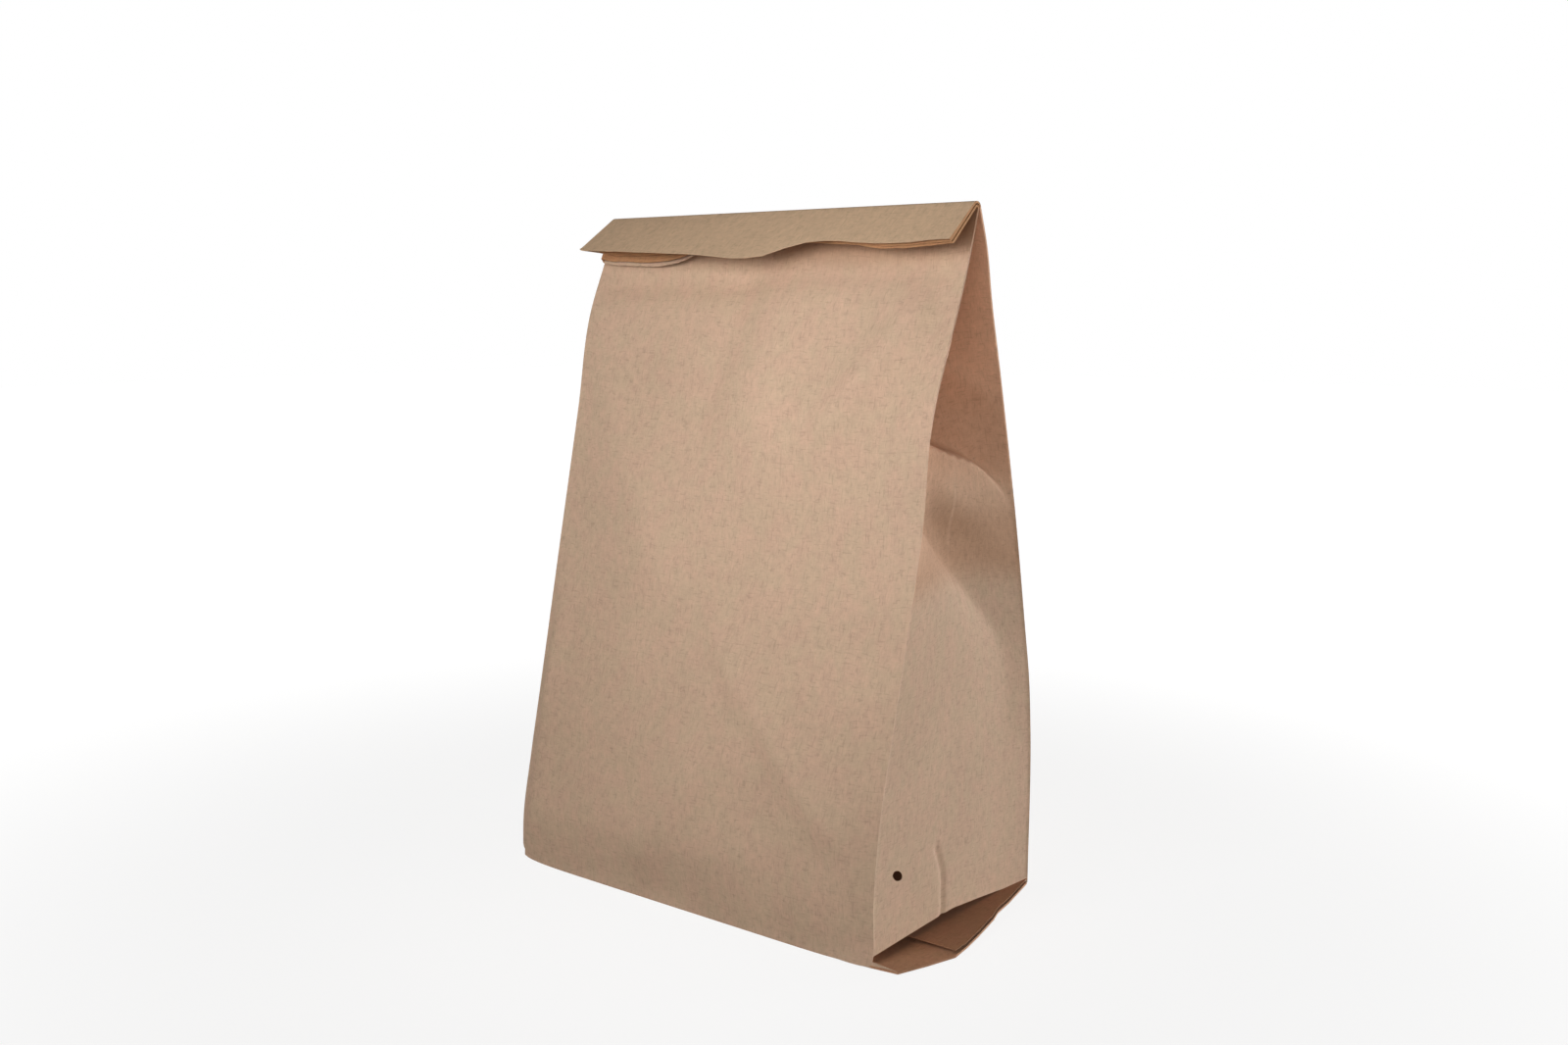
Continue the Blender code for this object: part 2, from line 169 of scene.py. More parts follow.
# Left gusset: the crease's height as a share of FOLD_Z, the run over which it turns in, and the dent below it
LEFT_CREASE = 0.43
CREASE_REACH = 0.042
LOWER_DENT = 0.0020

# Foot of the tube: the bag's own floor, the raised fold at the right, and the rounded lower left corner
FLOOR_PLY = 0.0006
SIDE_FOLD_CORNER = 0.0026
SIDE_FOLD_MIDDLE = 0.0038
SIDE_FOLD_BACK = 0.0009
FOOT_BLEND = 0.020
LEFT_ROUNDING = 0.0028
LEFT_ROUNDING_HEIGHT = 0.0035

# Glued flaps of the base; their open right end as (distance past HALF_WIDTH, share of GUSSET_HALF back)
CORNER_FOLD_RUN = 0.014
CORNER_FOLD_TOP = 0.0014
FRONT_FLAP_TOP = 0.0006
REAR_FLAP_TOP = 0.0017
REAR_FLAP_CUT = -0.54
REAR_FLAP_CORNER = 0.0006
BASE_INSET = 0.00005
RIGHT_END = (
    (0.0075, -1.021), (0.0104, -0.795), (0.0129, -0.558), (0.0118, -0.368), (0.0100, -0.145),
    (0.0072, 0.158), (0.0054, 0.295), (0.0040, 0.500), (0.0002, 0.913),
)
FRONT_FLAP_POINTS = 40
BACK_FLAP_POINTS = 20

# The punched hole of the right gusset
HOLE_Z = 0.0204
HOLE_BEHIND_EDGE = 0.0106
HOLE_WIDE = 0.0044
HOLE_TALL = 0.0027
HOLE_SLANT = -0.33
HOLE_SIDES = 32
HOLE_REACH = 0.004

# The sheet's grid
FRONT_COLUMNS = 96
BACK_COLUMNS = 24
RIGHT_COLUMNS = 42
LEFT_COLUMNS = 10
WALL_STEPS = 170
BEND_STEPS = 8
FLAP_STEPS = 14
# By this share rows stand closer at the foot and at the fold than if they were even
ROW_EASE = 0.035
SAME_PLACE = 1e-6
# Edges that turn by more than this are drawn sharp
SHARP_ANGLE = math.radians(40)

MM = 0.001
# Soft folds of the front panel, in millimetres on it: start, end, width, and height (a hollow below 0)
FRONT_FOLDS = (
    # the long diagonal from the upper left over the middle to the lower right
    ((-55, 145), (-10, 75), 8, 1.6),
    ((0, 80), (55, 30), 6, 1.8),
    ((10, 70), (75, 20), 12, 1.8),
    # upright ridges and hollows below the flap
    ((-40, 175), (-20, 130), 15, -1.8),
    ((-5, 175), (-15, 120), 7, -1.8),
    ((10, 190), (10, 105), 9, 1.9),
    ((55, 165), (30, 130), 5, 1.8),
    ((65, 170), (40, 115), 8, -1.8),
    # the wide hollows of the middle and the left
    ((15, 120), (55, 80), 16, -1.7),
    ((40, 105), (-25, 75), 16, -1.3),
    ((-65, 135), (-40, 30), 9, -0.7),
    # ridges of the left side and the foot
    ((-50, 125), (-25, 85), 11, 1.1),
    ((-60, 80), (-60, 10), 5, 1.6),
    ((-75, 55), (15, 35), 12, 1.8),
    ((10, 45), (-15, 10), 7, 1.6),
    ((-55, 20), (30, 20), 9, 1.8),
    # the panel draws in close under the flap
    ((-70, 170), (-5, 170), 4, -1.9),
    ((-5, 173), (70, 173), 4, -1.8),
)


def curve(points, at):
    """A smooth curve through (position, value) points, read at an array of positions."""
    places = np.array([p[0] for p in points], float)
    values = np.array([p[1] for p in points], float)
    if len(points) > 2:
        slopes = np.gradient(values, places)
    else:
        slopes = np.full(2, (values[1] - values[0]) / (places[1] - places[0]))
    at = np.clip(at, places[0], places[-1])
    i = np.clip(np.searchsorted(places, at, side="right") - 1, 0, len(places) - 2)
    run = places[i + 1] - places[i]
    t = (at - places[i]) / run
    rise = (2 * t**3 - 3 * t**2 + 1) * values[i] + (3 * t**2 - 2 * t**3) * values[i + 1]
    return rise + run * ((t**3 - 2 * t**2 + t) * slopes[i] + (t**3 - t**2) * slopes[i + 1])


def mix(a, b, t):
    return a + (b - a) * t


def smooth(t):
    t = np.clip(t, 0, 1)
    return t * t * (3 - 2 * t)


def bump(t):
    """1 at 0, falling smoothly to nothing at about 2."""
    return np.exp(-(t**2))


def soft_least(a, b, rounding):
    """The lesser of two values, with a rounded change from one to the other."""
    return (a + b - np.sqrt((a - b) ** 2 + rounding**2)) / 2 + rounding / 4


# Smooth noise
def lattice(seed, count=4096):
    return np.random.RandomState(seed).uniform(-1, 1, count)


def noise(x, z, scale, seed):
    """Smooth value noise over (x, z) with features of this size."""
    table = lattice(seed)
    u, v = x / scale, z / scale
    iu, iv = np.floor(u).astype(int), np.floor(v).astype(int)
    fu, fv = smooth(u - iu), smooth(v - iv)

    def corner(a, b):
        return table[(a * 73 + b * 179 + a * b * 7) % len(table)]

    low = mix(corner(iu, iv), corner(iu + 1, iv), fu)
    high = mix(corner(iu, iv + 1), corner(iu + 1, iv + 1), fu)
    return mix(low, high, fv)


def crumple(x, z, seed):
    """The faint cockle of handled kraft paper, in metres."""
    total = np.zeros_like(x)
    for k, (squeeze, scale, height) in enumerate(COCKLE):
        total = total + noise(x, z * squeeze, scale, seed + k) * height
    return total


def fold_line(x, z, start, end, width, height):
    """A soft ridge (height above 0) or hollow along a line on a panel."""
    (x0, z0), (x1, z1) = start, end
    length = math.hypot(x1 - x0, z1 - z0)
    along = ((x - x0) * (x1 - x0) + (z - z0) * (z1 - z0)) / length
    across = ((x - x0) * (z1 - z0) - (z - z0) * (x1 - x0)) / length
    ends = smooth((along + width) / (2 * width)) * smooth((length - along + width) / (2 * width))
    return height * bump(across / width) * ends


def front_relief(x, z):
    """How far the soft folds of the front panel stand out."""
    total = np.zeros_like(x)
    for start, end, width, height in FRONT_FOLDS:
        a, b = (np.array(start) * MM, np.array(end) * MM)
        total += fold_line(x, z, a, b, width * MM, height * MM)
    return total


# The tube's panels
def fold_start(ply):
    """Where a ply starts to turn round the mouth's fold, as (y, z)."""
    radius = FOLD_RADIUS + PLY_PITCH * ply
    angle = mix(FRONT_START, BACK_START, ply / LAST_PLY)
    return FOLD_Y + radius * math.cos(angle), FOLD_Z + radius * math.sin(angle)


def standing_edge(edge, ply):
    """An edge's (height, place) points in metres, up to its ply's place at the fold."""
    y, z = fold_start(ply)
    return [(up * FOLD_Z, back * GUSSET_HALF) for up, back in edge] + [(z, y)]


LEFT_EDGE_POINTS = standing_edge(FRONT_LEFT_EDGE, 0)
RIGHT_EDGE_POINTS = standing_edge(FRONT_RIGHT_EDGE, 0)
BACK_EDGE_POINTS = standing_edge(BACK_EDGE, LAST_PLY)


def swell(height, across, z):
    return height * (1 - across**2) * np.sin(np.pi * np.clip(z / FOLD_Z, 0, 1))


def top_fade(z):
    """1 on the wall, falling to 0 at the fold."""
    return np.clip((FOLD_Z - z) / FOLD_Z * TOP_FADE, 0, 1)


def calm(across, z):
    """1 in the middle of a panel, falling to 0 at its edges, where plies meet."""
    return smooth((1 - np.abs(across)) * EDGE_CALM) * smooth(z / FOOT_CALM) * top_fade(z)


def front_y(x, z, relief=True):
    """How far back the front panel stands."""
    across = x / HALF_WIDTH
    share = (x + HALF_WIDTH) / (2 * HALF_WIDTH)
    plain = mix(curve(LEFT_EDGE_POINTS, z), curve(RIGHT_EDGE_POINTS, z), share)
    inside = 1 - np.abs(across) ** BASE_BOW_POWER
    bow = BASE_BOW * inside * np.exp(-z / BASE_BOW_REACH)
    tuck = FOOT_TUCK * inside * np.exp(-((z / FOOT_TUCK_REACH) ** 2))
    corner = smooth((x - HALF_WIDTH) / CORNER_FOLD_RUN + 1)
    flare = CORNER_FLARE * corner * np.clip(1 - z / CORNER_FLARE_HEIGHT, 0, 1) ** 2
    y = plain - (swell(FRONT_SWELL, across, z) + bow - tuck) * top_fade(z) - flare
    if relief:
        y = y - (front_relief(x, z) + crumple(x, z, FRONT_SEED)) * calm(across, z)
    return y


def back_y(x, z, relief=True):
    """How far back the back panel stands."""
    across = x / HALF_WIDTH
    y = curve(BACK_EDGE_POINTS, z) + swell(BACK_SWELL, across, z)
    if relief:
        y = y + crumple(x, z, BACK_SEED) * calm(across, z)
    return y


def vee_depth(front, back):
    """How far in the gusset's middle stands where the sheet is folded in two flat halves."""
    half_gap = np.minimum((back - front) / 2, GUSSET_HALF)
    return np.sqrt(GUSSET_HALF**2 - half_gap**2)


def left_inset(front, back, share, z):
    """The left gusset: a shallow dent that turns into a plain inward fold."""
    full = vee_depth(front, back)
    turn = np.clip((z - LEFT_CREASE * FOLD_Z) / CREASE_REACH, 0, 1)
    depth = mix(np.minimum(LOWER_DENT, full), full, np.sin(turn * np.pi / 2))
    return depth * (1 - np.abs(2 * share - 1))


def right_inset(front, back, share, z):
    """The right gusset: a lower panel leaning in, a bulge, a sharp valley, then the inward fold."""
    bulge = curve(BULGE_LINE, share) * FOLD_Z
    valley = curve(VALLEY_LINE, share) * FOLD_Z
    upper = curve(UPPER_LINE, share) * FOLD_Z
    start = SIDE_DEPTH_START * FOLD_Z
    lower = np.clip((z - start) / (bulge - BULGE_HALF - start), 0, 1)
    turns = (
        smooth((z - bulge + BULGE_HALF) / (2 * BULGE_HALF)),
        smooth((z - bulge) / (valley - bulge)),
        smooth((z - valley + VALLEY_HALF) / (2 * VALLEY_HALF)),
    )
    depth = mix(SIDE_DEPTH[0], SIDE_DEPTH[1], lower**SIDE_DEPTH_POWER)
    rear = mix(SIDE_FALL[0], SIDE_FALL[1], lower)
    fore = mix(FRONT_FALL[0], FRONT_FALL[1], lower**FRONT_FALL_POWER)
    for k, turn in enumerate(turns, start=2):
        depth = mix(depth, SIDE_DEPTH[k], turn)
        rear = mix(rear, SIDE_FALL[k], turn)
        fore = mix(fore, FRONT_FALL[k], turn)
    gap = back - front
    walls = soft_least(rear * (1 - share) * gap, fore * share * gap, CREASE_ROUNDING)
    shallow = soft_least(depth, walls, CREASE_ROUNDING)
    vee = vee_depth(front, back) * (1 - np.abs(2 * share - 1))
    closing = mix(VEE_START, 1, smooth((z - valley - VALLEY_HALF) / VEE_REACH)) * turns[-1]
    ridge = UPPER_RIDGE * bump((z - upper) / UPPER_RIDGE_REACH) * smooth((1 - share) / UPPER_RIDGE_END)
    groove = np.zeros_like(z)
    for low, high in FOOT_CREASE:
        groove = groove + fold_line(share * gap, z, low, high, FOOT_CREASE_HALF, FOOT_CREASE_DEPTH)
    return np.maximum(mix(np.maximum(shallow, 0), vee, closing) - ridge + groove, 0)


def left_shrink(z):
    """How far the lower left corner is rounded off."""
    return LEFT_ROUNDING * np.clip(1 - z / LEFT_ROUNDING_HEIGHT, 0, 1) ** 2


def lifted(height, foot):
    """Heights up the wall when its lowest point stands at foot."""
    return np.maximum(height, foot + height * (1 - foot / FOOT_BLEND))


# The sheet's grid: columns in order round the tube, and rows up the wall, round the fold and down the flap
def columns():
    """Arrays of each column's ply (0 front to 3 back), side (1 right, -1 left, 0 panel) and place in it."""
    front = np.linspace(-HALF_WIDTH, HALF_WIDTH, FRONT_COLUMNS)
    back = np.linspace(HALF_WIDTH, -HALF_WIDTH, BACK_COLUMNS)
    t_right = np.linspace(0, 1, RIGHT_COLUMNS)
    t_left = np.linspace(0, 1, LEFT_COLUMNS)
    ply = [0] * FRONT_COLUMNS + [1] * RIGHT_COLUMNS + [2] * RIGHT_COLUMNS
    ply += [3] * BACK_COLUMNS + [2] * LEFT_COLUMNS + [1] * LEFT_COLUMNS
    side = [0] * FRONT_COLUMNS + [1] * (2 * RIGHT_COLUMNS) + [0] * BACK_COLUMNS + [-1] * (2 * LEFT_COLUMNS)
    place = np.concatenate([front, t_right, t_right[::-1], back, t_left, t_left[::-1]])
    return np.array(ply), np.array(side), place


PLY, SIDE, PLACE = columns()


def gusset_points(sign, ply, heights):
    """Which columns are this gusset half, and their x, y and z: ply 1 is the front half and 2 the rear."""
    here = (SIDE == sign) & (PLY == ply)
    t = PLACE[here]
    place = t / 2 if ply == 1 else 1 - t / 2
    end = SIDE_FOLD_CORNER if ply == 1 else SIDE_FOLD_BACK
    foot = FLOOR_PLY if sign < 0 else mix(end, SIDE_FOLD_MIDDLE, 1 - np.abs(2 * place - 1))
    z = lifted(heights[here], foot)
    edge = np.full_like(z, sign * HALF_WIDTH)
    near = front_y(edge, z, False) + PLY_PITCH
    far = back_y(edge, z, False) - PLY_PITCH
    middle = (near + far) / 2
    inset = (right_inset if sign > 0 else left_inset)(near, far, place, z)
    x = sign * (HALF_WIDTH - inset)
    if ply == 1:
        # behind the front panel also where that is pressed in
        y = np.maximum(mix(near, middle - PLY_PITCH / 2, t), front_y(x, z) + PLY_PITCH)
    else:
        y = mix(far, middle + PLY_PITCH / 2, t)
    return here, x, y, z


def tube_points():
    """Rows of points up the standing tube, one array for each height."""
    shares = np.linspace(0, 1, WALL_STEPS + 1)
    shares = shares - ROW_EASE * np.sin(2 * np.pi * shares) / (2 * np.pi)
    tops = np.array([fold_start(ply)[1] for ply in range(LAST_PLY + 1)])[PLY]
    front, back = PLY == 0, PLY == LAST_PLY
    rows = []
    for share in shares:
        heights = share * tops
        x = np.where(SIDE == 0, PLACE, 0.0)
        y = np.zeros_like(x)
        z = np.zeros_like(x)
        z[front] = lifted(heights[front], FLOOR_PLY / 2)
        z[back] = lifted(heights[back], FLOOR_PLY)
        y[front] = front_y(x[front], z[front])
        y[back] = back_y(x[back], z[back])
        for sign in (1, -1):
            for ply in (1, 2):
                here, *placed = gusset_points(sign, ply, heights)
                x[here], y[here], z[here] = placed
        x = x + np.where(x < -HALF_WIDTH + SAME_PLACE, left_shrink(z), 0)
        rows.append(np.stack([x, y, z], axis=1))
    return rows


def flap_points():
    """Rows of points round the fold and down the flap."""
    x = np.where(SIDE == 0, PLACE, SIDE * (HALF_WIDTH - GUSSET_HALF * PLACE))
    across = x / HALF_WIDTH
    radius = FOLD_RADIUS + PLY_PITCH * PLY
    fall = np.zeros_like(x)
    length = np.zeros_like(x)
    for ply in range(LAST_PLY + 1):
        here = PLY == ply
        fall[here] = np.radians(curve(PLY_FALL[ply], across[here]))
        length[here] = curve(PLY_LENGTH[ply], across[here])
    for scale, height, seed in MOUTH_RAGGED:
        length = length + noise(x, PLY * PLY_APART, scale, seed) * height
    start = mix(FRONT_START, BACK_START, PLY / LAST_PLY)
    end = np.pi / 2 + fall
    draw = np.where(PLY < LAST_PLY, LEFT_DRAW * np.clip(-across, 0, 1) ** LEFT_DRAW_POWER, 0)
    rows = []
    for step in range(1, BEND_STEPS + 1):
        angle = mix(start, end, step / BEND_STEPS)
        rows.append(np.stack([x, FOLD_Y + radius * np.cos(angle), FOLD_Z + radius * np.sin(angle)], axis=1))
    for step in range(1, FLAP_STEPS + 1):
        share = step / FLAP_STEPS
        run = length * share
        y = FOLD_Y + radius * np.cos(end) - run * np.cos(fall)
        z = FOLD_Z + radius * np.sin(end) - run * np.sin(fall)
        rows.append(np.stack([x + draw * share, y, z], axis=1))
    return rows


def floor_faces(first, lowest):
    """The bag's own floor under the lowest loop: the points of two rings and a middle, and their faces."""
    count = len(PLY)
    front, back = lowest[PLY == 0], lowest[PLY == LAST_PLY]
    middle = np.array([front[:, 0].mean(), (front[:, 1].mean() + back[:, 1].mean()) / 2, FLOOR_PLY])
    rings = [(1 - k / 3) * (lowest - middle) + middle for k in (1, 2)]
    loops = [list(range(count))] + [list(range(first + r * count, first + (r + 1) * count)) for r in range(2)]
    centre = first + 2 * count
    faces = []
    for outer, inner in zip(loops, loops[1:]):
        for j in range(count):
            k = (j + 1) % count
            faces.append((outer[k], outer[j], inner[j], inner[k]))
    for j in range(count):
        faces.append((loops[2][(j + 1) % count], loops[2][j], centre))
    return np.concatenate([*rings, [middle]]), faces


def paper_places(rows):
    """Each vertex's place on the unfolded sheet, in metres: round the tube, and up it."""
    across = np.zeros(len(PLY))
    front, back = PLY == 0, PLY == LAST_PLY
    panel = 2 * HALF_WIDTH
    gusset = 2 * GUSSET_HALF
    across[front] = PLACE[front] + HALF_WIDTH
    across[back] = panel + gusset + HALF_WIDTH - PLACE[back]
    for sign, first in ((1, panel), (-1, 2 * panel + gusset)):
        for ply in (1, 2):
            here = (SIDE == sign) & (PLY == ply)
            from_front = PLACE[here] if ply == 1 else 2 - PLACE[here]
            run = from_front if sign > 0 else 2 - from_front
            across[here] = first + GUSSET_HALF * run
    steps = [np.zeros(len(PLY))]
    for low, high in zip(rows, rows[1:]):
        steps.append(steps[-1] + np.linalg.norm(high - low, axis=1))
    up = np.array(steps)
    return np.stack([np.broadcast_to(across, up.shape), up], axis=-1).reshape(-1, 2)


def lay_paper(data, places):
    """Writes the places on the sheet as the mesh's UV map, in metres."""
    layer = data.uv_layers.new(name="paper")
    corner = np.empty(len(data.loops), int)
    data.loops.foreach_get("vertex_index", corner)
    spot = places[corner].astype(np.float32)
    totals = np.empty(len(data.polygons), int)
    data.polygons.foreach_get("loop_total", totals)
    face = np.repeat(np.arange(len(totals)), totals)
    widest = np.zeros(len(totals))
    np.maximum.at(widest, face, spot[:, 0])
    # A face that closes the ring ends at the sheet's far edge, not at its start
    closing = (widest[face] > 3 * GUSSET_HALF + 3 * HALF_WIDTH) & (spot[:, 0] < HALF_WIDTH / 8)
    spot[closing, 0] = 4 * (HALF_WIDTH + GUSSET_HALF)
    layer.data.foreach_set("uv", spot.ravel())


def new_mesh(name, points, faces):
    data = bpy.data.meshes.new(name)
    data.from_pydata(points, [], faces)
    data.update()
    return data


def add_object(name, data):
    made = bpy.data.objects.new(name, data)
    bpy.context.scene.collection.objects.link(made)
    return made


def sheet_mesh():
    """The folded sheet without thickness; the inner plies of the flap have the second material, with painted
    shade.
    """
    tube_rows = tube_points()
    rows = tube_rows + flap_points()
    count = len(PLY)
    faces = []
    for i in range(len(rows) - 1):
        base = i * count
        for j in range(count):
            k = (j + 1) % count
            faces.append((base + j, base + k, base + count + k, base + count + j))
    points = np.concatenate(rows)
    places = paper_places(rows)
    extra, floor_part = floor_faces(len(points), rows[0])
    points = np.concatenate([points, extra])
    places = np.concatenate([places, extra[:, :2] - extra[:, :2].min(axis=0)])
    faces += floor_part
    data = new_mesh("kraft_sheet", points.tolist(), faces)
    lay_paper(data, places)
    data.shade_smooth()
    painted_tones = np.zeros(len(faces), int)
    # faces of the flap's inner plies and of the front ply's right half take the painted shade tone
    inner = (np.isin(PLY, (1, 2)) | ((PLY == 0) & (PLACE > 0))).astype(int)
    first = len(tube_rows) * count
    painted_tones[first : (len(rows) - 1) * count] = np.tile(inner, len(rows) - 1 - len(tube_rows))
    data.polygons.foreach_set("material_index", painted_tones)
    return data


# The base's flaps and the hole
def right_end():
    return [(HALF_WIDTH + past, back * GUSSET_HALF) for past, back in RIGHT_END]


def place_y(panel_y, x, z):
    """A panel's y at one point."""
    return float(panel_y(np.array([x], float), np.array([z], float))[0])


def prism(name, ring, far_ring):
    """A solid between two rings of points."""
    n = len(ring)
    faces = [tuple(reversed(range(n))), tuple(range(n, 2 * n))]
    faces += [(k, (k + 1) % n, n + (k + 1) % n, n + k) for k in range(n)]
    return new_mesh(name, ring + far_ring, faces)


def slab(name, outline, bottom, top):
    """A flat piece of paper with the given outline, counter-clockwise from above."""
    low, high = ([(x, y, z) for x, y in outline] for z in (bottom, top))
    data = prism(name, low, high)
    lay_paper(data, np.array(low + high)[:, :2] + HALF_WIDTH)
    return data


def back_outline(left):
    """The base's edge under the back panel, from right to left."""
    xs = np.linspace(HALF_WIDTH, left, BACK_FLAP_POINTS)
    return [(float(x), place_y(back_y, x, 0.0) - BASE_INSET) for x in xs]


def front_flap():
    left, right = -HALF_WIDTH + LEFT_ROUNDING, HALF_WIDTH - CORNER_FOLD_RUN
    xs = [float(x) for x in np.linspace(left, right, FRONT_FLAP_POINTS)] + [HALF_WIDTH]
    outline = [(x, place_y(front_y, x, 0.0) + BASE_INSET) for x in xs]
    return slab("base_front_flap", outline + right_end() + back_outline(left), 0.0, FRONT_FLAP_TOP)


def rear_flap():
    left = -HALF_WIDTH + LEFT_ROUNDING
    cut = REAR_FLAP_CUT * GUSSET_HALF
    behind = [point for point in right_end() if point[1] > cut]
    outline = [(left, cut), (behind[0][0] + REAR_FLAP_CORNER, cut)] + behind + back_outline(left)
    return slab("base_rear_flap", outline, REAR_FLAP_TOP - PAPER, REAR_FLAP_TOP)


def corner_fold():
    """The small fold between the front panel's lower right corner and the front base flap."""
    tip_x, tip_y = right_end()[0]
    foot = place_y(front_y, HALF_WIDTH, 0.0) + BASE_INSET
    top = CORNER_FOLD_TOP
    top_y = place_y(front_y, HALF_WIDTH, top)
    points = [
        (HALF_WIDTH - PAPER, foot, 0.0),
        (tip_x, tip_y, 0.0),
        (HALF_WIDTH, top_y, top),
        (HALF_WIDTH - PAPER, foot + 2 * PAPER, 0.0),
        (tip_x - PAPER, tip_y + PAPER, FRONT_FLAP_TOP),
        (HALF_WIDTH, top_y + 2 * PAPER, top),
    ]
    faces = [(0, 1, 2), (3, 5, 4), (1, 4, 5, 2), (0, 3, 4, 1), (0, 2, 5, 3)]
    data = new_mesh("corner_fold", points, faces)
    lay_paper(data, np.array(points)[:, [0, 2]] + HALF_WIDTH)
    return data


def hole_cutter():
    """An oval rod through the right gusset."""
    middle = place_y(front_y, HALF_WIDTH, HOLE_Z) + HOLE_BEHIND_EDGE
    oval = []
    for angle in np.linspace(0, 2 * np.pi, HOLE_SIDES, endpoint=False):
        back = HOLE_WIDE / 2 * math.cos(angle)
        oval.append((middle + back, HOLE_Z + HOLE_TALL / 2 * math.sin(angle) + HOLE_SLANT * back))
    inner, outer = ([(HALF_WIDTH + x, y, z) for y, z in oval] for x in (-HOLE_REACH, HOLE_REACH))
    return prism("hole", inner, outer)


def folded_sheet(finish, ply_shade_finish):
    """The sheet with its paper's thickness and its hole."""
    made = add_object("kraft_sheet", sheet_mesh())
    made.data.materials.append(finish)
    made.data.materials.append(ply_shade_finish)
    thick = made.modifiers.new("paper", "SOLIDIFY")
    thick.thickness = PAPER
    thick.offset = 0
    thick.use_even_offset = True
    cutter = add_object("hole", hole_cutter())
    hole = made.modifiers.new("hole", "BOOLEAN")
    hole.operation = "DIFFERENCE"
    hole.solver = "EXACT"
    hole.object = cutter
    bpy.context.view_layer.update()
    graph = bpy.context.evaluated_depsgraph_get()
    solid = bpy.data.meshes.new_from_object(made.evaluated_get(graph))
    made.modifiers.clear()
    solid.set_sharp_from_angle(angle=SHARP_ANGLE)
    made.data = solid
    bpy.data.objects.remove(cutter)
    return made


# Materials
KRAFT = (0.562, 0.398, 0.290)
# painted shade: the base's rear flap, darker and redder than the sheet for the shade it lies in
KRAFT_BASE_PAINTED_SHADE = (0.360, 0.180, 0.100)
# painted shade: the front base flap, darker than the sheet, a little less than the rear flap
KRAFT_FRONT_FLAP_PAINTED_SHADE = (0.500, 0.275, 0.165)
# painted shade: the flap's inner plies, darker and more orange than the sheet
KRAFT_PLIES_PAINTED_SHADE = (0.480, 0.255, 0.130)

# Stretches across the unfolded sheet: middle and half width
FRONT_STRETCH = (HALF_WIDTH, HALF_WIDTH)
RIGHT_STRETCH = (2 * HALF_WIDTH + GUSSET_HALF, GUSSET_HALF)
BACK_STRETCH = (3 * HALF_WIDTH + 2 * GUSSET_HALF, HALF_WIDTH)

# Painted light and shade on single regions of the sheet: colour, stretch across the sheet, and the region's
# lower end and upper end up the sheet, each as (where the tone has gone, where it is full); without an upper
# end it goes on
PAINTED_LIGHT_AND_SHADE = (
    # painted warm bounce light on the right gusset's inward fold, painted shade on the band under its bulge,
    # and painted warm shade in its valley
    ((0.690, 0.430, 0.296), RIGHT_STRETCH, (0.085, 0.140)),
    ((0.500, 0.312, 0.208), RIGHT_STRETCH, (0.084, 0.096), (0.116, 0.103)),
    ((0.600, 0.368, 0.250), RIGHT_STRETCH, (0.114, 0.126), (0.152, 0.136)),
    # painted shadow on the front close under the flap, and painted light on the flap's outer ply
    ((0.380, 0.225, 0.140), FRONT_STRETCH, (0.1775, 0.1890), (0.1955, 0.1930)),
    ((0.610, 0.430, 0.284), BACK_STRETCH, (0.192, 0.196)),
)

# Fibres along and across the sheet, then mottling: features per millimetre in the sheet's two directions,
# octaves, and how strongly it shades; the fibres also raise the surface
FIBRES = (
    ((2.1, 0.50), 2.0, 0.20),
    ((0.55, 2.1), 2.0, 0.14),
    ((0.42, 0.36), 3.0, 0.24),
    ((0.055, 0.045), 3.0, 0.14),
)
RAISED_FIBRES = 2
FIBRE_STRENGTH = 0.25
FIBRE_HEIGHT = 0.00006
# Single darker fibres, along and across the sheet: stretch, and how much each darkens the paper
HAIRS = (((1.50, 0.32), 0.11), ((0.34, 1.60), 0.11))
HAIR_FROM = 0.64
HAIR_FULL = 0.72
# Faint pinker and yellower patches, as factors of the paper's colour
TINT_STRETCH = (0.16, 0.12)
PINKER = (1.018, 0.991, 1.000)
YELLOWER = (0.982, 1.009, 0.991)
TINT_FROM = 0.35
TINT_FULL = 0.65
NOISE_ROUGHNESS = 0.55
PAPER_ROUGHNESS = 0.92
PAPER_SPECULAR = 0.2


def feed(tree, socket, value):
    """Gives a node's input a number or colour, or links it to another node's output."""
    if isinstance(value, bpy.types.NodeSocket):
        tree.links.new(value, socket)
    else:
        socket.default_value = value


def compute(tree, operation, *values):
    """The result of a math node."""
    made = tree.nodes.new("ShaderNodeMath")
    made.operation = operation
    for k, value in enumerate(values):
        feed(tree, made.inputs[k], value)
    return made.outputs[0]


def ramp(tree, value, start, end, low, high, kind="LINEAR"):
    """Runs from low to high while the value runs from start to end."""
    made = tree.nodes.new("ShaderNodeMapRange")
    made.interpolation_type = kind
    made.inputs["From Min"].default_value = start
    made.inputs["From Max"].default_value = end
    made.inputs["To Min"].default_value = low
    made.inputs["To Max"].default_value = high
    tree.links.new(value, made.inputs["Value"])
    return made.outputs["Result"]


def blend(tree, share, first, second):
    """A mix of two colours."""
    made = tree.nodes.new("ShaderNodeMix")
    made.data_type = "RGBA"
    feed(tree, made.inputs[0], share)
    feed(tree, made.inputs[6], first)
    feed(tree, made.inputs[7], second)
    return made.outputs[2]


def scaled(tree, colour, factor):
    """A colour times a number."""
    made = tree.nodes.new("ShaderNodeVectorMath")
    made.operation = "SCALE"
    feed(tree, made.inputs[0], colour)
    feed(tree, made.inputs["Scale"], factor)
    return made.outputs[0]


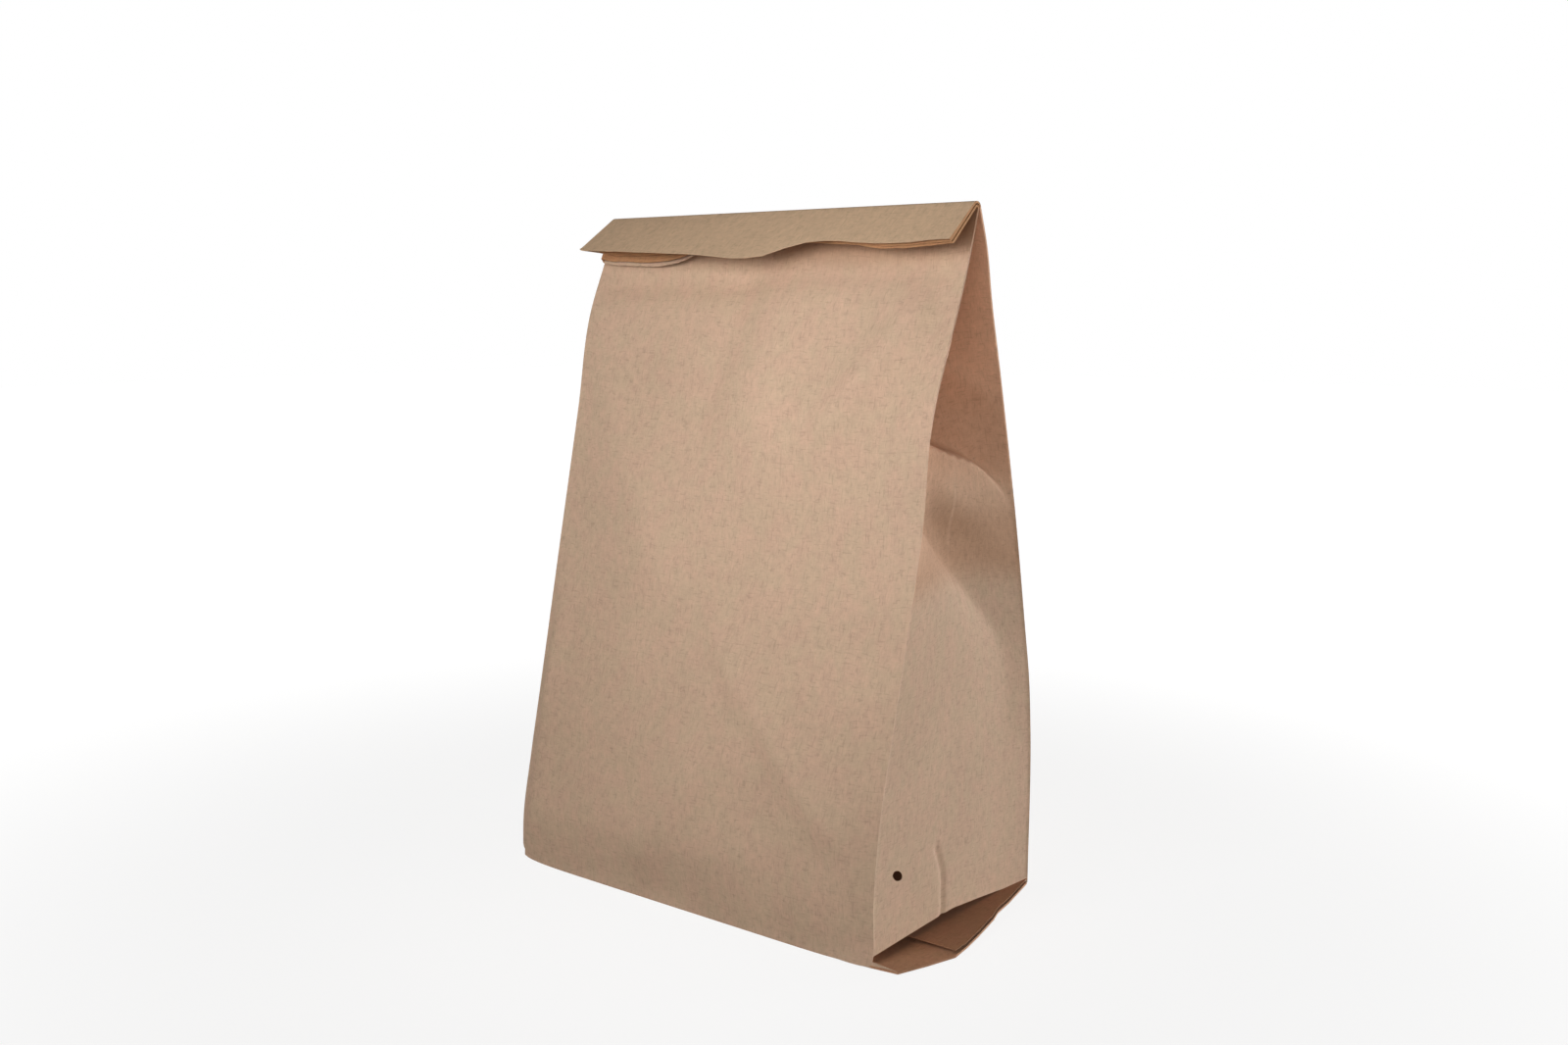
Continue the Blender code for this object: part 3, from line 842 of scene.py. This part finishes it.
def paper_noise(tree, place, stretch, octaves):
    """Noise on the sheet with this many features per millimetre in its two directions."""
    spread = tree.nodes.new("ShaderNodeVectorMath")
    spread.operation = "MULTIPLY"
    spread.inputs[1].default_value = (stretch[0] / MM, stretch[1] / MM, 0)
    tree.links.new(place, spread.inputs[0])
    texture = tree.nodes.new("ShaderNodeTexNoise")
    texture.noise_dimensions = "2D"
    texture.inputs["Scale"].default_value = 1.0
    texture.inputs["Detail"].default_value = octaves
    texture.inputs["Roughness"].default_value = NOISE_ROUGHNESS
    tree.links.new(spread.outputs[0], texture.inputs["Vector"])
    return texture.outputs["Fac"]


def painted_region(tree, place, stretch, ends):
    """1 on a region of painted light and shade and 0 off it, with soft ends up the sheet."""
    parts = tree.nodes.new("ShaderNodeSeparateXYZ")
    tree.links.new(place, parts.inputs[0])
    region = compute(tree, "COMPARE", parts.outputs["X"], *stretch)
    for gone, full in ends:
        low, high = float(gone > full), float(gone < full)
        up = ramp(tree, parts.outputs["Y"], min(gone, full), max(gone, full), low, high, "SMOOTHSTEP")
        region = compute(tree, "MULTIPLY", region, up)
    return region


def paper_shade(tree, place):
    """How light the paper is through its fibres and mottling, and the fibres alone."""
    shade = 1.0
    for k, (stretch, octaves, strength) in enumerate(FIBRES):
        grain = paper_noise(tree, place, stretch, octaves)
        shade = compute(tree, "ADD", compute(tree, "MULTIPLY_ADD", grain, strength, -0.5 * strength), shade)
        if k + 1 == RAISED_FIBRES:
            fibres = shade
    for stretch, strength in HAIRS:
        hair = ramp(tree, paper_noise(tree, place, stretch, 1.0), HAIR_FROM, HAIR_FULL, 1.0, 1.0 - strength)
        shade = compute(tree, "MULTIPLY", shade, hair)
    return shade, fibres


def tinted(colour, factors):
    return (*(level * factor for level, factor in zip(colour, factors)), 1)


def kraft(name, paper_colour, painted_tones=()):
    """Kraft paper: fibres along and across the sheet, mottling, faint tints, painted light and shade on
    single regions, and a fine bump.
    """
    made = bpy.data.materials.new(name)
    made.use_nodes = True
    tree = made.node_tree
    shader = tree.nodes["Principled BSDF"]
    shader.inputs["Roughness"].default_value = PAPER_ROUGHNESS
    shader.inputs["Specular IOR Level"].default_value = PAPER_SPECULAR
    map_node = tree.nodes.new("ShaderNodeUVMap")
    map_node.uv_map = "paper"
    place = map_node.outputs[0]
    shade, fibres = paper_shade(tree, place)
    tint = ramp(tree, paper_noise(tree, place, TINT_STRETCH, 2.0), TINT_FROM, TINT_FULL, 0.0, 1.0)
    colour = blend(tree, tint, tinted(paper_colour, PINKER), tinted(paper_colour, YELLOWER))
    # painted light and shade laid over single regions of the sheet
    for painted_tone, stretch, *ends in painted_tones:
        colour = blend(tree, painted_region(tree, place, stretch, ends), colour, (*painted_tone, 1))
    tree.links.new(scaled(tree, colour, shade), shader.inputs["Base Color"])
    raised = tree.nodes.new("ShaderNodeBump")
    raised.inputs["Strength"].default_value = FIBRE_STRENGTH
    raised.inputs["Distance"].default_value = FIBRE_HEIGHT
    tree.links.new(fibres, raised.inputs["Height"])
    tree.links.new(raised.outputs[0], shader.inputs["Normal"])
    return made


# the sheet's paper carries the painted light and shade regions
PAPER_MATERIAL = kraft("kraft_paper", KRAFT, PAINTED_LIGHT_AND_SHADE)
SHADED_BASE_MATERIAL = kraft("kraft_paper_base_painted_shade", KRAFT_BASE_PAINTED_SHADE)
FRONT_FLAP_SHADE_MATERIAL = kraft("kraft_paper_front_flap_painted_shade", KRAFT_FRONT_FLAP_PAINTED_SHADE)
PLY_SHADE_MATERIAL = kraft("kraft_paper_plies_painted_shade", KRAFT_PLIES_PAINTED_SHADE)

# The bag
sheet = folded_sheet(PAPER_MATERIAL, PLY_SHADE_MATERIAL)
# the rear and front base flaps carry painted shade; the corner fold has the sheet's paper
BASE_PIECES = (
    (front_flap(), FRONT_FLAP_SHADE_MATERIAL),
    (rear_flap(), SHADED_BASE_MATERIAL),
    (corner_fold(), PAPER_MATERIAL),
)
for data_made, finish in BASE_PIECES:
    piece = add_object(data_made.name, data_made)
    piece.data.materials.append(finish)
    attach(piece, "root")
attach(sheet, "root")
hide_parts("paper_bag")

# Floor, camera and lamps
FLOOR_HALF = 3
FLOOR_GREY = 0.16
FLOOR_NEAR = 0.12
FLOOR_FAR = 0.38
FLOOR_GLOW_NEAR = 0.86
WHITE = (1, 1, 1, 1)

CAMERA = (0.2866, -0.3440, 0.1630)
CAMERA_PITCH = math.radians(7.727)
CAMERA_HEADING = math.atan2(0.6343, 0.7731)
FOCAL_PIXELS = 1614.0
PHOTO_WIDTH = 1600
SENSOR_WIDTH = 36.0

# Each lamp's name, place, aim, width, height and energy in watts
LAMPS = (
    ("key", (0.04, -0.16, 0.13), (0, 0, 0.11), 0.06, 0.06, 0.045),
    ("key_high", (0.04, -0.16, 0.20), (0, 0, 0.18), 0.06, 0.06, 0.098),
    ("rear", (0.2550, 0.5430, 0.03), (0, 0, 0.05), 0.30, 0.05, 2.60),
    ("inside", (-0.03, 0.0, 0.05), (0.06, -0.02, 0.02), 0.02, 0.02, 0.004),
)

# The room's light comes from a pale band about the horizon, warm from the walls
ROOM_LEVEL = 2.9
ROOM_COLOUR = (1.0, 0.96, 0.90)
ROOM_BAND_FULL = 0.20
ROOM_BAND_END = 0.28


def floor_finish():
    """Grey for the light, with a glow towards white that only the camera sees, fuller far from the bag."""
    made = bpy.data.materials.new("floor")
    made.use_nodes = True
    tree = made.node_tree
    plain = tree.nodes["Principled BSDF"]
    plain.inputs["Base Color"].default_value = (FLOOR_GREY, FLOOR_GREY, FLOOR_GREY, 1)
    plain.inputs["Roughness"].default_value = 1.0
    plain.inputs["Specular IOR Level"].default_value = 0.0
    spot = tree.nodes.new("ShaderNodeNewGeometry")
    reach = tree.nodes.new("ShaderNodeVectorMath")
    reach.operation = "LENGTH"
    tree.links.new(spot.outputs["Position"], reach.inputs[0])
    distance = reach.outputs["Value"]
    glow = tree.nodes.new("ShaderNodeEmission")
    level = ramp(tree, distance, FLOOR_NEAR, FLOOR_FAR, FLOOR_GLOW_NEAR, 1.0, "SMOOTHSTEP")
    tree.links.new(level, glow.inputs["Strength"])
    both = tree.nodes.new("ShaderNodeAddShader")
    tree.links.new(plain.outputs[0], both.inputs[0])
    tree.links.new(glow.outputs[0], both.inputs[1])
    path = tree.nodes.new("ShaderNodeLightPath")
    choose = tree.nodes.new("ShaderNodeMixShader")
    tree.links.new(path.outputs["Is Camera Ray"], choose.inputs[0])
    tree.links.new(plain.outputs[0], choose.inputs[1])
    tree.links.new(both.outputs[0], choose.inputs[2])
    tree.links.new(choose.outputs[0], tree.nodes["Material Output"].inputs["Surface"])
    return made


def add_floor():
    h = FLOOR_HALF
    corners = [(-h, -h, 0), (h, -h, 0), (h, h, 0), (-h, h, 0)]
    made = add_object("floor", new_mesh("floor", corners, [(0, 1, 2, 3)]))
    made.data.materials.append(floor_finish())
    return made


def add_camera():
    """The photograph's camera."""
    data = bpy.data.cameras.new("camera")
    data.sensor_width = SENSOR_WIDTH
    data.lens = FOCAL_PIXELS / PHOTO_WIDTH * SENSOR_WIDTH
    made = add_object("camera", data)
    made.location = CAMERA
    made.rotation_euler = (math.pi / 2 - CAMERA_PITCH, 0, CAMERA_HEADING)
    bpy.context.scene.camera = made


def add_lamp(name, place, aim, wide, tall, energy):
    data = bpy.data.lights.new(name, "AREA")
    data.shape = "RECTANGLE"
    data.size, data.size_y = wide, tall
    data.energy = energy
    made = add_object(name, data)
    made.location = place
    away = np.array(aim) - np.array(place)
    across = math.hypot(away[0], away[1])
    made.rotation_euler = (math.atan2(across, -away[2]), 0, math.atan2(away[1], away[0]) - math.pi / 2)


def set_room():
    """Light from the room's band, and plain white for camera, glossy and transmission rays."""
    world = bpy.data.worlds.new("studio")
    bpy.context.scene.world = world
    world.use_nodes = True
    tree = world.node_tree
    path = tree.nodes.new("ShaderNodeLightPath")
    seen = compute(tree, "MAXIMUM", path.outputs["Is Camera Ray"], path.outputs["Is Glossy Ray"])
    seen = compute(tree, "MAXIMUM", seen, path.outputs["Is Transmission Ray"])
    direction = tree.nodes.new("ShaderNodeTexCoord")
    height = tree.nodes.new("ShaderNodeSeparateXYZ")
    tree.links.new(direction.outputs["Generated"], height.inputs[0])
    band = ramp(tree, height.outputs["Z"], ROOM_BAND_FULL, ROOM_BAND_END, ROOM_LEVEL, 0.0, "SMOOTHSTEP")
    shown = blend(tree, seen, scaled(tree, ROOM_COLOUR, band), WHITE)
    tree.links.new(shown, tree.nodes["Background"].inputs["Color"])


floor = add_floor()
add_camera()
for lamp in LAMPS:
    add_lamp(*lamp)
set_room()

bpy.context.scene.view_settings.view_transform = "Standard"
